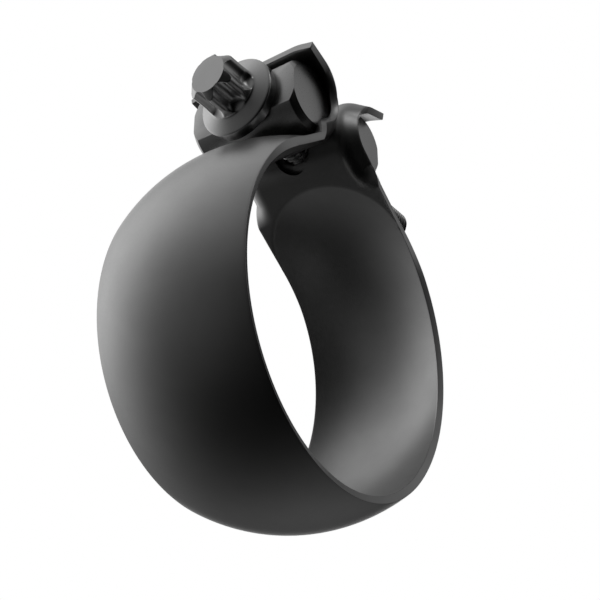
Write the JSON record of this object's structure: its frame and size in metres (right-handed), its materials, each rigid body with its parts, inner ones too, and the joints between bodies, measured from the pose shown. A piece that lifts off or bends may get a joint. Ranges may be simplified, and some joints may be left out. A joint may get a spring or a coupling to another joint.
{
  "type": "exhaust band clamp",
  "caption": "Spherical exhaust band clamp: a pressed steel band with hooked ears, drawn shut by a lobed flange bolt that runs through trunnion bars.",
  "frame": {"origin": "centre of the ball seat inside the band", "axes": "+Y along the pipe axis, +X along the bolt from its head to its tip, +Z from the pipe axis to the bolt"},
  "size_m": [0.0871, 0.0326, 0.0949],
  "materials": {
    "band": "satin grey coated sheet steel",
    "bars": "satin grey coated turned steel",
    "bolt": "satin grey coated forged steel"
  },
  "bodies": {
    "clamp": {"band": "band", "head_trunnion": "bars"},
    "bolt": {"flange_bolt": "bolt"},
    "nut": {"nut_trunnion": "bars"}
  },
  "joints": [
    {"name": "bolt_turn", "type": "hinge", "parent": "clamp", "child": "bolt", "pos_m": [0, 0, 0.04589], "axis": [-1, 0, 0], "range_deg": [0, 3605]},
    {"name": "nut_travel", "type": "slide", "parent": "clamp", "child": "nut", "axis": [1, 0, 0], "range_m": [0, 0.0125]}
  ],
  "couplings": [
    {"joint": "bolt_turn", "follows": "nut_travel", "rad_per_m": 5026.5}
  ]
}
